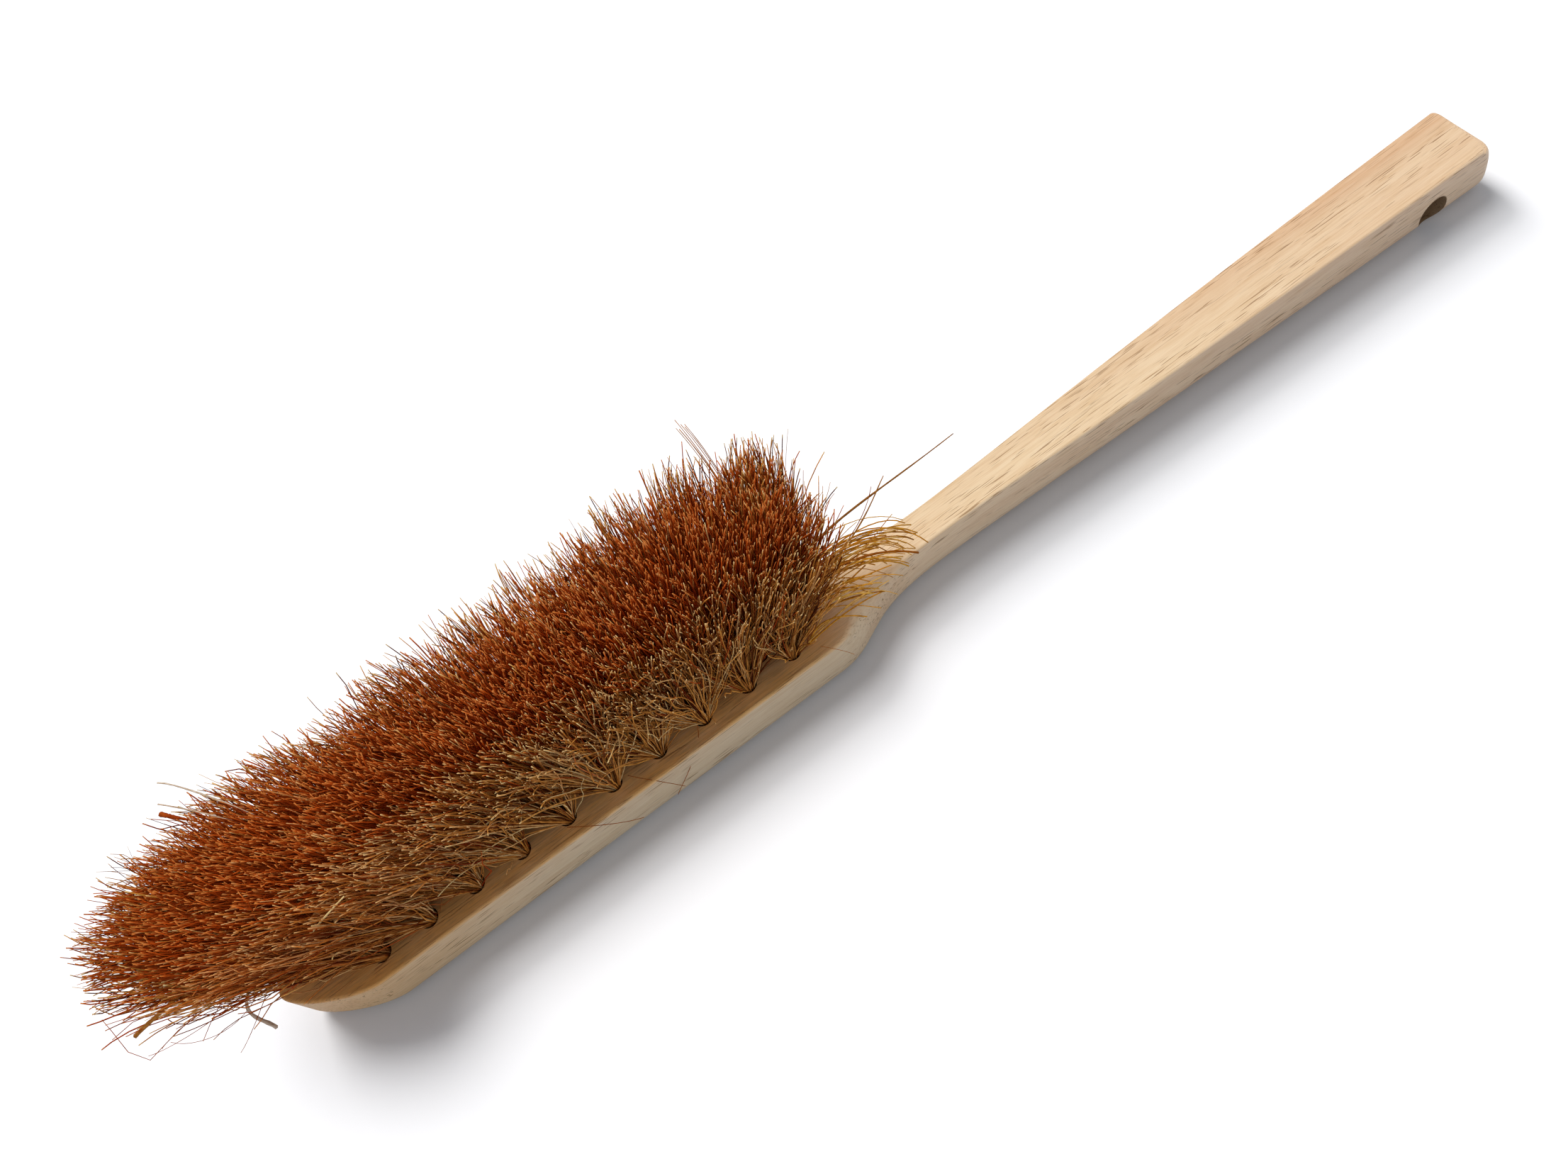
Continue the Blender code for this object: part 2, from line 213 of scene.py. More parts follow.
def stock_rings():
    """Closed rings of points up the stock's wall, from its flat back to its flat face.

    The wall is upright all round, except that the handle's end bulges between face and back.
    """
    near = [(x, -y) for x, y in reversed(half_outline(NEAR_CORNER_RADIUS)) if y > 0]
    loop = half_outline(FAR_CORNER_RADIUS) + near
    rings = []
    for step in range(BACK_STEPS + 1):
        angle = math.pi / 2 * step / BACK_STEPS
        share = 1 - math.sin(angle)
        ring = []
        for point in loop:
            radius = back_radius(point[0])
            x, y = drawn_in(point, share, radius, share * NOSE_BACK_ROUND, share * END_BACK_ROUND)
            ring.append(Vector((x - ORIGIN_AT, y, radius * (1 - math.cos(angle)))))
        rings.append(ring)
    for step in range(1, WALL_STEPS + 1):
        angle = math.pi / 2 * step / WALL_STEPS
        ring = []
        for point in loop:
            low = back_radius(point[0])
            high = THICKNESS - face_ease(point[0])
            bulge = (1 - math.cos(angle)) * end_face_round(point[1])
            x, y = drawn_in(point, 0.0, 0.0, 0.0, bulge)
            ring.append(Vector((x - ORIGIN_AT, y, low + (high - low) * math.sin(angle))))
        rings.append(ring)
    for step in range(1, FACE_STEPS + 1):
        angle = math.pi / 2 * step / FACE_STEPS
        share = 1 - math.cos(angle)
        ring = []
        for point in loop:
            ease = face_ease(point[0])
            end_by = end_face_round(point[1]) + share * ease
            x, y = drawn_in(point, share, ease, share * ease, end_by)
            ring.append(Vector((x - ORIGIN_AT, y, THICKNESS - ease * (1 - math.sin(angle)))))
        rings.append(ring)
    return rings


def tuft_places():
    """Row, number, distance from the nose and place across of each tuft in the CAD model."""
    places = []
    for row in range(1, ROW_COUNT + 1):
        y = OUTER_ROW_Y * (2 * (row - 1) / (ROW_COUNT - 1) - 1)
        count = sum(name.startswith(f"tuft_{row}_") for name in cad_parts)
        for number in range(1, count + 1):
            places.append((row, number, ROW_STARTS[row - 1] + TUFT_PITCH * (number - 1), y))
    return places


def nose_share(along):
    """How near a tuft is to the nose: 0 in mid-block, 1 at the first tuft."""
    return max(0.0, 1 - (along - FIRST_TUFT) / NOSE_FAN_LENGTH)


def heel_share(along):
    """How near a tuft is to the heel: 0 in mid-block, 1 at the block's end."""
    return max(0.0, 1 - (BLOCK_LENGTH - along) / HEEL_FAN_LENGTH)


def lean(along, y):
    """Angles of a tuft's fibres along and across the stock."""
    lengthwise = HEEL_LEAN * heel_share(along) - NOSE_LEAN * nose_share(along)
    sweep = SWEEP * (1 - heel_share(along)) + NOSE_SWEEP * nose_share(along)
    return lengthwise, OUTER_ROW_LEAN * y / OUTER_ROW_Y + sweep


def direction(along, y, share):
    """Unit vectors at shares of a tuft's full lean."""
    lengthwise, crosswise = lean(along, y)
    share = np.asarray(share, dtype=float)
    tilt = np.stack([np.tan(lengthwise * share), np.tan(crosswise * share),
                     np.ones_like(share)], axis=-1)
    return tilt / np.linalg.norm(tilt, axis=-1, keepdims=True)


def frame_along(axis):
    """Rotation that turns +Z onto an axis."""
    return Vector((0, 0, 1)).rotation_difference(Vector(axis)).to_matrix()


def new_object(name, mesh, material=None):
    """Link a mesh to the scene as an object with a material."""
    if material:
        mesh.materials.append(material)
    made = bpy.data.objects.new(name, mesh)
    bpy.context.scene.collection.objects.link(made)
    return made


def mesh_from(name, bm):
    """Turn a bmesh into a mesh with outward normals."""
    bmesh.ops.recalc_face_normals(bm, faces=bm.faces)
    mesh = bpy.data.meshes.new(name)
    bm.to_mesh(mesh)
    bm.free()
    return mesh


def add_cylinder(bm, place, diameter, length, sides):
    """Add a closed cylinder to a bmesh."""
    bmesh.ops.create_cone(bm, cap_ends=True, segments=sides, matrix=place, depth=length,
                          radius1=diameter / 2, radius2=diameter / 2)


def hole_cutters():
    """All blind tuft holes and the hanging hole as one set of cylinders."""
    bm = bmesh.new()
    above = TUFT_HOLE_DIAMETER
    length = TUFT_HOLE_DEPTH + above
    for *_, along, y in tuft_places():
        axis = Vector(direction(along, y, DRILL_SHARE))
        centre = Vector((along - ORIGIN_AT, y, THICKNESS)) + axis * (above - length / 2)
        place = Matrix.Translation(centre) @ frame_along(axis).to_4x4()
        add_cylinder(bm, place, TUFT_HOLE_DIAMETER, length, TUFT_HOLE_SIDES)
    centre = Vector((STOCK_LENGTH - HANG_HOLE_FROM_END - ORIGIN_AT, 0.0, HANG_HOLE_HEIGHT))
    place = Matrix.Translation(centre) @ Matrix.Rotation(math.pi / 2, 4, "X")
    add_cylinder(bm, place, HANG_HOLE_DIAMETER, 2 * HANDLE_END_WIDTH, HANG_HOLE_SIDES)
    return new_object("hole_cutters", mesh_from("hole_cutters", bm))


def applied(piece):
    """Apply a piece's modifiers to its mesh."""
    graph = bpy.context.evaluated_depsgraph_get()
    mesh = bpy.data.meshes.new_from_object(piece.evaluated_get(graph), depsgraph=graph)
    old = piece.data
    piece.modifiers.clear()
    piece.data = mesh
    bpy.data.meshes.remove(old)


def build_stock(material):
    """Loft the stock finely through its rings and drill it."""
    bm = bmesh.new()
    rings = [[bm.verts.new(point) for point in ring] for ring in stock_rings()]
    count = len(rings[0])
    for lower, upper in zip(rings, rings[1:]):
        for i in range(count):
            j = (i + 1) % count
            bm.faces.new((lower[i], lower[j], upper[j], upper[i]))
    bm.faces.new(rings[0])
    bm.faces.new(rings[-1])
    stock = new_object("wooden_stock", mesh_from("wooden_stock", bm), material)
    cutter = hole_cutters()
    cut = stock.modifiers.new("holes", "BOOLEAN")
    cut.operation = "DIFFERENCE"
    cut.solver = "EXACT"
    cut.object = cutter
    applied(stock)
    bpy.data.objects.remove(cutter)
    mesh = stock.data
    mesh.shade_smooth()
    mesh.set_sharp_from_angle(angle=SHARP_ANGLE)
    weigh = stock.modifiers.new("even_normals", "WEIGHTED_NORMAL")
    weigh.keep_sharp = True
    weigh.weight = LARGE_FACE_WEIGHT
    applied(stock)
    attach(stock, "root")
    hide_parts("stock")
    return stock


# Fibres

class RowLook(NamedTuple):
    """How the fibres of a row's tufts stand. Lengths are in metres, and shares are of 1."""
    count: int
    spread_along: float
    spread_across: float
    opening: float
    gather: float
    bend: float
    crook: float
    wave: float
    short_share: float
    shortest: float
    loose_share: float
    radius: float
    tan: float
    near_tan: float


ROW_LOOKS = {
    1: RowLook(count=250, spread_along=0.0225, spread_across=0.0080, opening=1.4, gather=0.60,
               bend=0.0030, crook=0.0015, wave=0.0006, short_share=0.26, shortest=0.58,
               loose_share=0.05, radius=0.00019, tan=0.90, near_tan=0.08),
    2: RowLook(count=330, spread_along=0.0145, spread_across=0.0095, opening=1.6, gather=1.0,
               bend=0.0032, crook=0.0019, wave=0.0006, short_share=0.40, shortest=0.66,
               loose_share=0.02, radius=0.00020, tan=0.04, near_tan=0.09),
    3: RowLook(count=360, spread_along=0.0145, spread_across=0.0120, opening=1.6, gather=1.0,
               bend=0.0032, crook=0.0019, wave=0.0006, short_share=0.40, shortest=0.66,
               loose_share=0.02, radius=0.00020, tan=0.05, near_tan=0.0),
    4: RowLook(count=430, spread_along=0.0145, spread_across=0.0120, opening=1.6, gather=1.0,
               bend=0.0032, crook=0.0022, wave=0.0005, short_share=0.34, shortest=0.70,
               loose_share=0.03, radius=0.00020, tan=0.11, near_tan=0.0),
}
# Where a fibre has rings, as shares of its length above the face, and with its foot's ring
HEIGHTS = np.array([0.0, 0.16, 0.33, 0.50, 0.64, 0.76, 0.86, 0.94, 1.0])
TUFT_ALONG = np.concatenate([[-0.1], HEIGHTS])

# Tufts at the nose: how their fibres differ from those of mid-block
NOSE_SHEAR = {1: 0.45, 2: 0.20, 3: 0.05, 4: 0.05}
NOSE_MORE_FIBRES = 0.18
NOSE_MORE_SCATTER = 0.0016
NOSE_REACH = 0.0026
NOSE_MORE_BEND = 0.3
NOSE_MORE_CROOK = 0.4
NOSE_WAVE = 0.0009
NOSE_MORE_LOOSE = 0.05
NOSE_DARKER_NEAR = 0.03
NOSE_DARKER = 0.16
NOSE_RED_ROOT_TIP_NEAR = (0.20, 0.50)
NOSE_RED_ROOT_TIP = (0.36, 0.64)
NOSE_RED_FROM = 0.30
NOSE_RED_SPAN = 0.55
NOSE_FAR_LONGER = 0.045
NOSE_SHORTER = 0.024

# Tufts at the heel
HEEL_NARROWER = 0.38
HEEL_WIDER_ACROSS = 0.2
HEEL_BACK = 0.0005
HEEL_DARKER = 0.10
HEEL_SHORTER = 0.030
HEEL_FAR_SHORTER = 0.075

# Stretches of the far rows that stand back or out, each with its start and its end
CHEEK_START = (0.020, 0.050)
CHEEK_END = (0.075, 0.100)
CHEEK_INWARD = 0.0010
CREST_START = (0.145, 0.170)
CREST_END = (0.185, 0.198)
CREST_LONGER = 0.03
CREST_OUTWARD = 0.0026
FAR_SHORTER = 0.004

# Fibres on the brush's outline, and the end tufts that have some lengthwise
OUTLINE_TAN = 0.70
OUTLINE_DARK = 0.18
OUTLINE_FROM = 0.30
OUTLINE_SPAN = 0.35
NOSE_TUFTS_FROM = 0.81
HEEL_TUFTS_FROM = 0.6

# All tufts
ROOT_FILL = 0.86
ROOT_JITTER = 0.5
CLUMPS = 44
CLUMP_JITTER = 0.6
CLUMP_GATHER = (0.15, 0.85)
CLUMP_RISE = 0.042
CLUMP_TONE = 0.12
TIP_SCATTER = 0.0010
TUFT_SWAY = 0.0012
SCATTER_LIMIT = 2.2
LENGTH_VARIATION = 0.025
LENGTH_RANGE = (0.94, 1.06)
CLUMP_LENGTH_RANGE = (0.92, 1.06)
LONGEST_SHORT = 0.97
RADIUS_VARIATION = 0.25
RADIUS_RANGE = (0.6, 1.6)
TAPER = ((0, 0.6, 1), (1.0, 0.95, 0.75))
TAN_SHARES = (0.75, 1.0)
RED_SHARES = (0.0, 0.12)
LOOSE_BEND = 0.0080
LOOSE_CROOK = 0.0045
LOOSE_ASIDE = 0.5
HAIR_SHARE = 0.03
HAIR_LENGTH = (1.0, 1.10)
HAIR_CROOK = 0.6
HAIR_RADIUS = (0.00007, 0.00012)
HAIR_TAN = 0.85
WAVE_TURNS = (0.7, 2.4)
WAVE_FULL_AT = 0.5
BEND_POWER = 2
CROOK_POWER = 6
LEAST_RISE = 0.4

# How far hairs may stand out of the CAD model's box, along each axis
HAIR_ROOM = np.array([0.014, 0.0055, 0.0055])

# A tube's first cross direction comes from X, or from Y where the tube runs nearly along X
NEARLY_ALONG_X = 0.7

# A fibre's strip in its cell of the UV map, and the two ends beside it, as shares of the cell
STRIP_ASPECT = 12
STRIP_LEFT = 0.06
STRIP_WIDTH = 0.74
STRIP_LOW = 0.02
STRIP_HEIGHT = 0.96
ENDS_AT = 0.90
TIP_END_AT = 0.96
FOOT_END_AT = 0.04
ENDS_SIZE = (0.06, 0.02)


def held_near(paths):
    """Draw in, ever more, what reaches beyond the CAD model's box."""
    low, high = np.array(CAD_BOX[0]), np.array(CAD_BOX[1])
    held = np.clip(paths, low, high)
    return held + HAIR_ROOM * np.tanh((paths - held) / HAIR_ROOM)


def tube_mesh(name, paths, radii, tone, along, tan, sides=3):
    """One mesh of closed tapered tubes.

    paths is (fibres, rings, 3), radii, along and tan are (fibres, rings), and tone is (fibres,).
    """
    fibres, rings = radii.shape
    paths = held_near(paths)
    tangent = np.gradient(paths, axis=1)
    tangent /= np.linalg.norm(tangent, axis=2, keepdims=True)
    mean = paths[:, -1] - paths[:, 0]
    mean /= np.linalg.norm(mean, axis=1, keepdims=True)
    along_x = np.abs(mean[:, :1]) >= NEARLY_ALONG_X
    helper = np.where(along_x, [[0.0, 1.0, 0.0]], [[1.0, 0.0, 0.0]])
    start = np.cross(mean, helper)
    start /= np.linalg.norm(start, axis=1, keepdims=True)
    turn = chance.uniform(0, math.tau, fibres)
    start = start * np.cos(turn)[:, None] + np.cross(mean, start) * np.sin(turn)[:, None]
    first = start[:, None, :] - tangent * np.sum(tangent * start[:, None, :], axis=2, keepdims=True)
    first /= np.linalg.norm(first, axis=2, keepdims=True)
    second = np.cross(tangent, first)
    angle = math.tau * np.arange(sides) / sides
    ring = (first[:, :, None, :] * np.cos(angle)[None, None, :, None]
            + second[:, :, None, :] * np.sin(angle)[None, None, :, None])
    points = paths[:, :, None, :] + ring * radii[:, :, None, None]
    index = np.arange(fibres * rings * sides).reshape(fibres, rings, sides)
    beside = np.roll(index, -1, axis=2)
    walls = np.stack([index[:, :-1], beside[:, :-1], beside[:, 1:], index[:, 1:]], axis=-1)
    tips = index[:, -1]
    feet = index[:, 0, ::-1]
    mesh = bpy.data.meshes.new(name)
    mesh.from_pydata(points.reshape(-1, 3).tolist(), [],
                     walls.reshape(-1, 4).tolist() + tips.tolist() + feet.tolist())
    mesh.shade_smooth()
    for label, values in (("tone", tone[:, None, None]), ("along", along[:, :, None]),
                          ("tan", tan[:, :, None])):
        values = np.broadcast_to(values, points.shape[:3])
        attribute = mesh.attributes.new(label, "FLOAT", "POINT")
        attribute.data.foreach_set("value", np.ascontiguousarray(values, dtype=np.float32).ravel())
    add_strip_map(mesh, fibres, rings, sides)
    return mesh


def add_strip_map(mesh, fibres, rings, sides):
    """UV map with one upright strip for each fibre, and its two ends beside the strip."""
    columns = max(1, math.ceil(math.sqrt(fibres * STRIP_ASPECT)))
    rows = math.ceil(fibres / columns)
    wide, high = 1 / columns, 1 / rows
    cell = np.arange(fibres)
    left = (cell % columns) * wide
    low = (cell // columns) * high
    side = np.arange(sides)
    step = np.arange(rings - 1)
    u = left[:, None, None] + wide * (STRIP_LEFT + STRIP_WIDTH * side[None, None, :] / sides)
    u = np.broadcast_to(u, (fibres, rings - 1, sides))
    across = wide * STRIP_WIDTH / sides
    v = low[:, None, None] + high * (STRIP_LOW + STRIP_HEIGHT * step[None, :, None] / (rings - 1))
    v = np.broadcast_to(v, (fibres, rings - 1, sides))
    rise = high * STRIP_HEIGHT / (rings - 1)
    walls = np.stack([np.stack([u, v], -1), np.stack([u + across, v], -1),
                      np.stack([u + across, v + rise], -1), np.stack([u, v + rise], -1)], axis=-2)
    shape = np.stack([np.cos(math.tau * side / sides), np.sin(math.tau * side / sides)], -1)
    ends = []
    for share in (TIP_END_AT, FOOT_END_AT):
        middle = np.stack([left + wide * ENDS_AT, low + high * share], -1)
        ends.append(middle[:, None, :] + shape[None] * [wide * ENDS_SIZE[0], high * ENDS_SIZE[1]])
    flat = np.concatenate([walls.reshape(-1, 2), ends[0].reshape(-1, 2), ends[1].reshape(-1, 2)])
    layer = mesh.uv_layers.new(name="OFBake")
    layer.data.foreach_set("uv", flat.astype(np.float32).ravel())


def disc_points(count, jitter):
    """Evenly strewn points in the unit disc."""
    number = np.arange(count) + 0.5
    radius = np.sqrt(number / count)
    angle = number * math.pi * (3 - math.sqrt(5)) + chance.uniform(0, math.tau)
    points = np.stack([radius * np.cos(angle), radius * np.sin(angle)], -1)
    points += chance.normal(0, jitter / math.sqrt(count), points.shape)
    length = np.linalg.norm(points, axis=1, keepdims=True)
    return points / np.maximum(length, 1.0)


def scatter(size, count):
    """Random offsets across an axis, with no coordinate beyond the limit."""
    return np.clip(chance.normal(0, size, (count, 2)), -SCATTER_LIMIT * size, SCATTER_LIMIT * size)


def fan_paths(along, y, start, tip, opening, length, bend, crook, wave):
    """Paths of a tuft's fibres from the bottom of its hole to their tips.

    start and tip are offsets across the tuft's axis, bend strays all the way up, crook only near
    the tip, and wave is a ripple.
    """
    count = len(start)
    height = HEIGHTS[None, :, None]
    root = np.array([along - ORIGIN_AT, y, THICKNESS])
    turn = np.array(frame_along(direction(along, y, DRILL_SHARE)))
    axis = direction(along, y, DRILL_SHARE + (1 - DRILL_SHARE) * HEIGHTS)
    offset = start[:, None, :] + (tip - start)[:, None, :] * (1 - (1 - height) ** opening)
    offset = (offset + bend[:, None, :] * height ** BEND_POWER
              + crook[:, None, :] * height ** CROOK_POWER)
    turns = chance.uniform(*WAVE_TURNS, (count, 1, 2))
    phase = chance.uniform(0, math.tau, (count, 1, 2))
    ripple = np.sin(math.tau * turns * height + phase) - np.sin(phase)
    offset = offset + wave[:, None, None] * ripple * np.minimum(1, height / WAVE_FULL_AT)
    flat = np.concatenate([offset, np.zeros((count, len(HEIGHTS), 1))], axis=2) @ turn.T
    rest = length ** 2 - np.sum(offset[:, -1] ** 2, axis=1)
    reach = np.sqrt(np.maximum(rest, LEAST_RISE * length ** 2))
    above = root + axis[None] * (HEIGHTS[None] * reach[:, None])[:, :, None] + flat
    foot = np.concatenate([start, np.full((count, 1), -BUNDLE_DEPTH)], axis=1) @ turn.T
    return np.concatenate([(root + foot)[:, None, :], above], axis=1)


def stretch_share(along, start, end):
    """1 on a stretch of the block, with a smooth start and end, and 0 elsewhere."""
    return smooth_step(along, *start) * (1 - smooth_step(along, *end))


def far_share(y):
    """How far across a tuft stands: 0 in the near outer row, 1 in the far one."""
    return 0.5 + 0.5 * y / OUTER_ROW_Y


def length_share(along, y):
    """A tuft's length as a share of the full one."""
    far = far_share(y)
    share = (1 + nose_share(along) * (NOSE_FAR_LONGER * far - NOSE_SHORTER)
             - heel_share(along) * (HEEL_SHORTER + HEEL_FAR_SHORTER * far))
    return share + far * (CREST_LONGER * stretch_share(along, CREST_START, CREST_END) - FAR_SHORTER)


def shift_across(along, y):
    """How far a tuft's tips are shifted to the far side."""
    crest = CREST_OUTWARD * stretch_share(along, CREST_START, CREST_END)
    cheek = CHEEK_INWARD * stretch_share(along, CHEEK_START, CHEEK_END)
    return far_share(y) * (crest - cheek)


def at_outline(row, along, start):
    """How much each fibre is on the brush's outline: at the far row, the nose or the heel."""
    if nose_share(along) > NOSE_TUFTS_FROM:
        endwise = -start[:, 0]
    else:
        endwise = start[:, 0] * (heel_share(along) > HEEL_TUFTS_FROM)
    outward = np.maximum(endwise, start[:, 1] * (row == ROW_COUNT))
    return np.clip((outward - OUTLINE_FROM) / OUTLINE_SPAN, 0, 1)


def fibre_tan(look, row, along, start):
    """How tan each fibre is at each ring.

    Near the nose, tan fibres turn red towards their tips, apart from those on the outline.
    """
    outline = at_outline(row, along, start)
    count = len(start)
    odds = look.tan + look.near_tan * np.clip(-start[:, 1], 0, 1) + OUTLINE_TAN * outline
    tan = np.where(chance.random(count) < odds, chance.uniform(*TAN_SHARES, count),
                   chance.uniform(*RED_SHARES, count))
    rise = np.clip((TUFT_ALONG - NOSE_RED_FROM) / NOSE_RED_SPAN, 0, 1)
    at_root, towards_tip = NOSE_RED_ROOT_TIP_NEAR if row == 1 else NOSE_RED_ROOT_TIP
    turned = nose_share(along) * (at_root + towards_tip * rise[None]) * (1 - outline[:, None])
    return tan[:, None] * (1 - turned)


def fibre_tips(look, row, along, y, start, clumps, nearest):
    """Where a tuft's fibres end, across its axis: spread out and partly in clumps."""
    from_nose = nose_share(along)
    from_heel = heel_share(along)
    count = len(start)
    gather = look.gather * chance.uniform(*CLUMP_GATHER, (count, 1))
    tip = start * (1 - gather) + clumps[nearest] * gather
    tip = tip * (look.spread_along * (1 - HEEL_NARROWER * from_heel),
                 look.spread_across * (1 + HEEL_WIDER_ACROSS * from_heel))
    tip[:, 1] -= NOSE_SHEAR[row] * from_nose * tip[:, 0]
    tip += scatter(TIP_SCATTER + NOSE_MORE_SCATTER * from_nose, count) + scatter(TUFT_SWAY, 1)
    tip[:, 0] -= NOSE_REACH * from_nose
    return tip + (-HEEL_BACK * from_heel, shift_across(along, y))


def fibre_tone(row, along, start, nearest):
    """How light each fibre is: partly its clump's, and darker at the block's ends."""
    tone = (1 - CLUMP_TONE) * chance.random(len(start)) + CLUMP_TONE * chance.random(CLUMPS)[nearest]
    darker = NOSE_DARKER_NEAR if row == 1 else NOSE_DARKER
    tone = np.maximum(0.0, tone - darker * nose_share(along) - HEEL_DARKER * heel_share(along))
    return tone * (1 - OUTLINE_DARK * at_outline(row, along, start))


def tuft_fibres(row, number, along, y, material):
    """All fibres of one tuft as a piece that stands for its CAD node."""
    look = ROW_LOOKS[row]
    from_nose = nose_share(along)
    count = round(look.count * (1 + NOSE_MORE_FIBRES * from_nose))
    start = disc_points(count, ROOT_JITTER)
    clumps = disc_points(CLUMPS, CLUMP_JITTER)
    nearest = np.argmin(np.linalg.norm(start[:, None] - clumps[None], axis=2), axis=1)
    tip = fibre_tips(look, row, along, y, start, clumps, nearest)
    bend = scatter(look.bend * (1 + NOSE_MORE_BEND * from_nose), count)
    crook = scatter(look.crook, CLUMPS)[nearest] + scatter(look.crook / 2, count)
    crook *= 1 + NOSE_MORE_CROOK * from_nose
    wave = np.abs(chance.normal(0, look.wave + NOSE_WAVE * from_nose, count))
    tone = fibre_tone(row, along, start, nearest)
    length = BRISTLE_LENGTH * length_share(along, y) * np.clip(
        chance.normal(1.0, LENGTH_VARIATION, count), *LENGTH_RANGE)
    length *= np.clip(chance.normal(1.0, CLUMP_RISE, CLUMPS), *CLUMP_LENGTH_RANGE)[nearest]
    short = chance.random(count) < look.short_share
    length[short] *= chance.uniform(look.shortest, LONGEST_SHORT, short.sum())
    radius = look.radius * np.clip(chance.lognormal(0, RADIUS_VARIATION, count), *RADIUS_RANGE)
    loose = chance.random(count) < look.loose_share + NOSE_MORE_LOOSE * from_nose
    bend[loose] += np.abs(scatter(LOOSE_BEND, loose.sum())) * (chance.choice((-1, 1)), LOOSE_ASIDE)
    crook[loose] += scatter(LOOSE_CROOK, loose.sum())
    hairs = chance.random(count) < HAIR_SHARE
    length[hairs] *= chance.uniform(*HAIR_LENGTH, hairs.sum())
    crook[hairs] *= HAIR_CROOK
    radius[hairs] = chance.uniform(*HAIR_RADIUS, hairs.sum())
    paths = fan_paths(along, y, start * BUNDLE_RADIUS * ROOT_FILL, tip, look.opening, length, bend,
                      crook, wave)
    tan = fibre_tan(look, row, along, start)
    tan[hairs] = HAIR_TAN
    name = f"fibres_{row}_{number:02d}"
    mesh = tube_mesh(name, paths, radius[:, None] * np.interp(TUFT_ALONG, *TAPER)[None], tone,
                     np.broadcast_to(TUFT_ALONG, (count, len(TUFT_ALONG))), tan)
    piece = new_object(name, mesh, material)
    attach(piece, "root")
    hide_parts(f"tuft_{row}_{number:02d}")
    return piece


# Loose and splayed fibres

class Stray(NamedTuple):
    """A single fibre: Bezier points in millimetres, radii, and its shade."""
    points: tuple
    foot_radius: float
    tip_radius: float
    tan: float
    tone: float


# Strays: unit, rings, how far up a fibre their tips are coloured as, knobs, and numbers of each
MM_PER_METRE = 1000
STRAY_RINGS = 16
STRAY_END_ALONG = 0.9
KNOB_SIZE = 0.12
KNOB_TURNS = (20, 60)
KNOB_PHASE = (0, 6)
SPLAYED_COUNT = 60
CLUMP_STRAY_COUNT = 7
SHORT_STRAY_COUNT = 18
STRAWS_PER_TUFT = 4


def bezier_paths(control):
    """Points along Bezier curves. control is (curves, points, 3)."""
    share = np.linspace(0, 1, STRAY_RINGS)
    degree = control.shape[1] - 1
    weights = np.stack([math.comb(degree, i) * share ** i * (1 - share) ** (degree - i)
                        for i in range(degree + 1)], axis=1)
    return np.einsum("ri,cid->crd", weights, control)


def stray_piece(name, strays, material, sides=5):
    """A piece of single knobbly fibres, each along its own Bezier curve."""
    groups = {}
    for stray in strays:
        groups.setdefault(len(stray.points), []).append(stray)
    paths = np.concatenate([bezier_paths(np.array([s.points for s in group]) / MM_PER_METRE)
                            for group in groups.values()])
    strays = [stray for group in groups.values() for stray in group]
    count = len(strays)
    share = np.linspace(0, 1, STRAY_RINGS)[None]
    foot = np.array([[s.foot_radius] for s in strays])
    tip = np.array([[s.tip_radius] for s in strays])
    turns = share * chance.uniform(*KNOB_TURNS, (count, 1))
    knobs = 1 + KNOB_SIZE * np.sin(turns + chance.uniform(*KNOB_PHASE, (count, 1)))
    radii = (foot + (tip - foot) * share) * knobs / MM_PER_METRE
    tan = np.array([[s.tan] for s in strays]) * np.ones_like(share)
    along = np.broadcast_to(share * STRAY_END_ALONG, radii.shape)
    mesh = tube_mesh(name, paths, radii, np.array([s.tone for s in strays]), along, tan, sides)
    piece = new_object(name, mesh, material)
    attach(piece, "root")
    return piece


def splayed_fibres():
    """Fibres of the last tufts that arch out over the neck and droop."""
    strays = []
    for _ in range(SPLAYED_COUNT):
        out = chance.random() ** 0.65
        y = -11 + 15 * out + chance.uniform(-4, 4)
        reach = 121 + 21 * out + chance.uniform(-10, 4)
        end_y = -18 + 13 * out + chance.uniform(-3, 5)
        crest_z = 33 + 11 * out + chance.uniform(-5, 5)
        root = (chance.uniform(88, 98), max(y, -11), 21)
        knee = (chance.uniform(96, 104), y + chance.uniform(-2, 2), crest_z - 4)
        crest = (reach - chance.uniform(7, 15), (y + end_y) / 2 + chance.uniform(-3, 3), crest_z + 4)
        tip = (reach, end_y, chance.uniform(24, 37))
        width = chance.uniform(0.17, 0.37)
        strays.append(Stray((root, knee, crest, tip), width, width * 0.7, chance.uniform(0.8, 1.0),
                            chance.uniform(0.2, 1.0)))
    strays.append(Stray(((94, -3, 21), (101, -6, 48), (123, -6, 46), (134, -9, 34), (140, -12, 29)),
                        0.46, 0.36, 0.6, 0.2))
    strays.append(Stray(((97, 0, 21), (103, 1, 52), (130, 5, 44), (141, -3, 36), (145, -10, 27)),
                        0.26, 0.20, 0.8, 0.5))
    return strays


